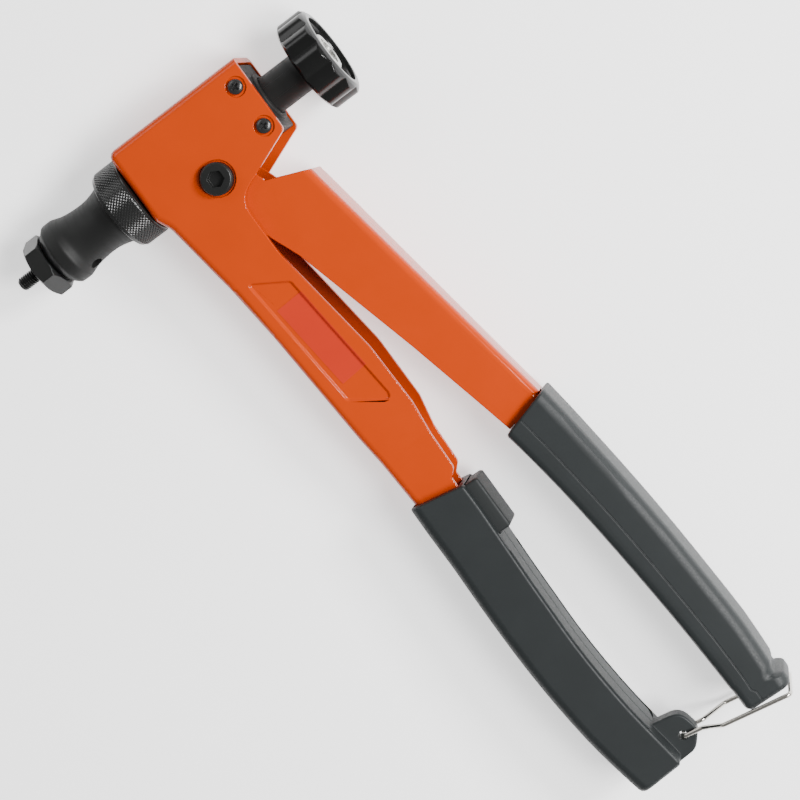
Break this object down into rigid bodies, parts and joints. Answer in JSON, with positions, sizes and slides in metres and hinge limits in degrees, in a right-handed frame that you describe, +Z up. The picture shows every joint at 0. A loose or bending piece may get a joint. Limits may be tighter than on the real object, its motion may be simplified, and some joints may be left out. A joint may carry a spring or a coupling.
{
  "type": "rivet nut tool",
  "caption": "Two-handed lever tool that sets threaded rivet nuts: folded steel head and handles, turned nose with hex anvil and threaded mandrel, turning rear knob, wire bail at the grips.",
  "frame": {"origin": "centre of the bounding box in plan, at the lowest point of the knob, with the tool lying on its far side", "axes": "+X along the spindle from nose to knob, +Y from the grip ends to the top of the head, +Z up out of the near plate"},
  "size_m": [0.1574, 0.323, 0.0386],
  "materials": {
    "orange_paint": "gloss",
    "black_oxide": "black oxide, satin",
    "bright_steel": "machined",
    "black_plastic": "satin",
    "slate_grip": "satin, slightly bluish",
    "black_rubber": "matt",
    "nickel_wire": "bright nickel"
  },
  "bodies": {
    "frame": {"body_shell": "orange_paint", "front_bush": "black_oxide", "lock_ring": "black_oxide", "nose_sleeve": "black_oxide", "anvil": "black_oxide", "rear_guide": "black_plastic", "guide_screw_near_upper": "black_oxide", "guide_screw_near_lower": "black_oxide", "guide_screw_far_upper": "black_oxide", "guide_screw_far_lower": "black_oxide", "pivot_bolt": "black_oxide", "pivot_nut": "black_oxide", "pivot_bush": "bright_steel", "fixed_grip": "slate_grip", "handle_stop": "black_rubber"},
    "handle": {"moving_handle": "orange_paint", "moving_grip": "slate_grip"},
    "drawbar": {"pull_sleeve": "black_oxide"},
    "spindle": {"drive_shaft": "bright_steel", "mandrel_coupler": "black_oxide", "mandrel": "black_oxide", "knob": "black_plastic", "knob_insert": "bright_steel"},
    "bail": {"bail_wire": "nickel_wire"}
  },
  "joints": [
    {"name": "handle_hinge", "type": "hinge", "parent": "frame", "child": "handle", "pos_m": [0.01436, 0.12777, 0.0193], "axis": [0, 0, 1], "range_deg": [-1.4, 32]},
    {"name": "drawbar_slide", "type": "slide", "parent": "frame", "child": "drawbar", "axis": [1, 0, 0], "range_m": [-0.0086, 0.0005]},
    {"name": "spindle_turn", "type": "hinge", "parent": "drawbar", "child": "spindle", "pos_m": [0.01436, 0.14222, 0.0193], "axis": [1, 0, 0], "continuous": true},
    {"name": "bail_swing", "type": "hinge", "parent": "frame", "child": "bail", "pos_m": [0.03086, -0.15283, 0.0193], "axis": [0, 0, -1], "range_deg": [-12.5, 112]}
  ],
  "couplings": [
    {"joint": "drawbar_slide", "follows": "handle_hinge", "m_per_rad": -0.0149}
  ]
}
